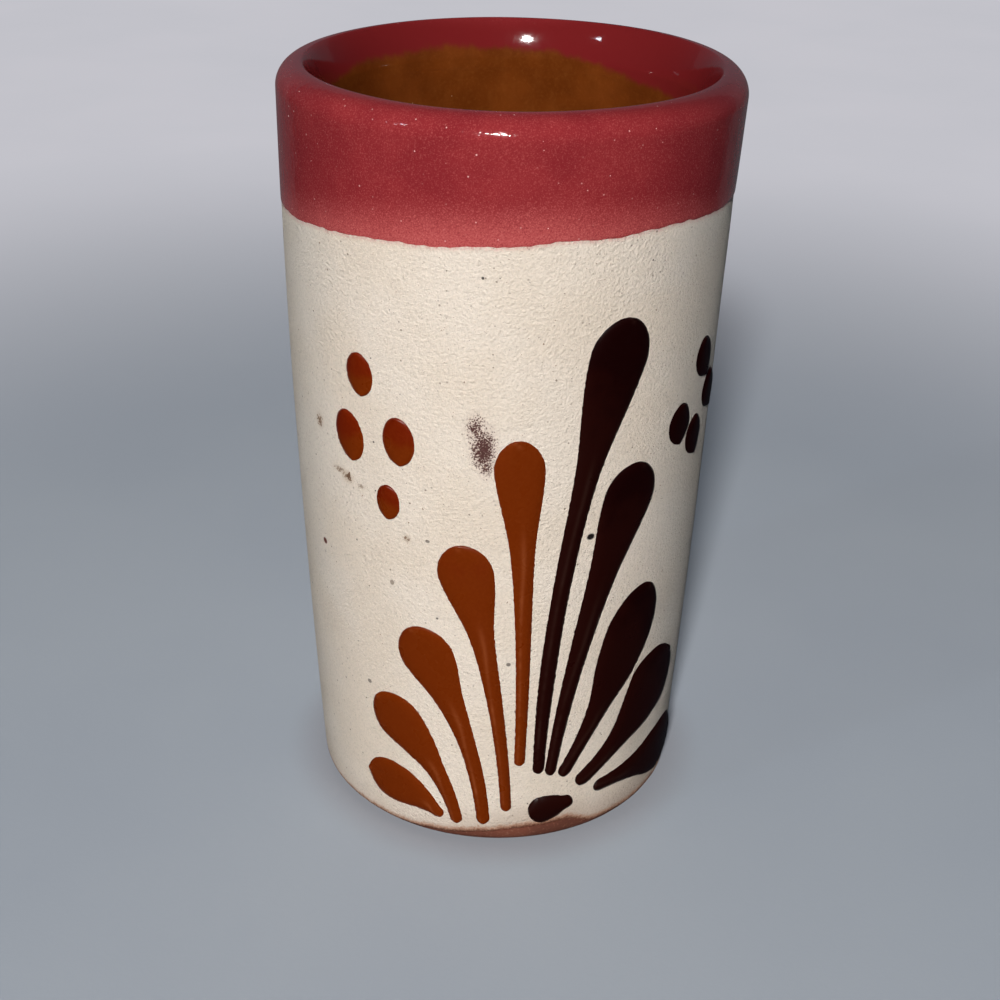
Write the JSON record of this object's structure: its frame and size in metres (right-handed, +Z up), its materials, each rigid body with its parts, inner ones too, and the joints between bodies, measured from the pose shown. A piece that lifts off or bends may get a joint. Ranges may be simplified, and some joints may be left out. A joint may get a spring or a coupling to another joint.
{
  "type": "ceramic shot glass",
  "caption": "Small tapered ceramic shot glass: cream slip over a terracotta cup, red glazed lip, amber glaze inside, raised fan of trailed drops on the front.",
  "frame": {"origin": "centre of the flat underside, on the cup's axis", "axes": "+Z up along the cup's axis; -Y is the decorated front; +X is to the right of someone facing the front"},
  "size_m": [0.043, 0.0433, 0.076],
  "materials": {
    "terracotta": "bare fired clay, matte",
    "cream_slip": "sandy matte slip with fine dark specks",
    "red_glaze": "glossy glaze",
    "amber_glaze": "glossy glaze",
    "amber_drop": "glossy raised slip",
    "brown_drop": "satin raised slip"
  },
  "bodies": {
    "root": {"clay_body": "terracotta", "slip_coat": "cream_slip", "rim_glaze": "red_glaze", "inner_glaze": "amber_glaze", "amber_petal_1": "amber_drop", "amber_petal_2": "amber_drop", "amber_petal_3": "amber_drop", "amber_petal_4": "amber_drop", "amber_petal_5": "amber_drop", "amber_dot_1": "amber_drop", "amber_dot_2": "amber_drop", "amber_dot_3": "amber_drop", "amber_dot_4": "amber_drop", "brown_petal_1": "brown_drop", "brown_petal_2": "brown_drop", "brown_petal_3": "brown_drop", "brown_petal_4": "brown_drop", "brown_petal_5": "brown_drop", "base_dot": "brown_drop", "brown_dot_1": "brown_drop", "brown_dot_2": "brown_drop", "brown_dot_3": "brown_drop", "brown_dot_4": "brown_drop"}
  },
  "joints": []
}
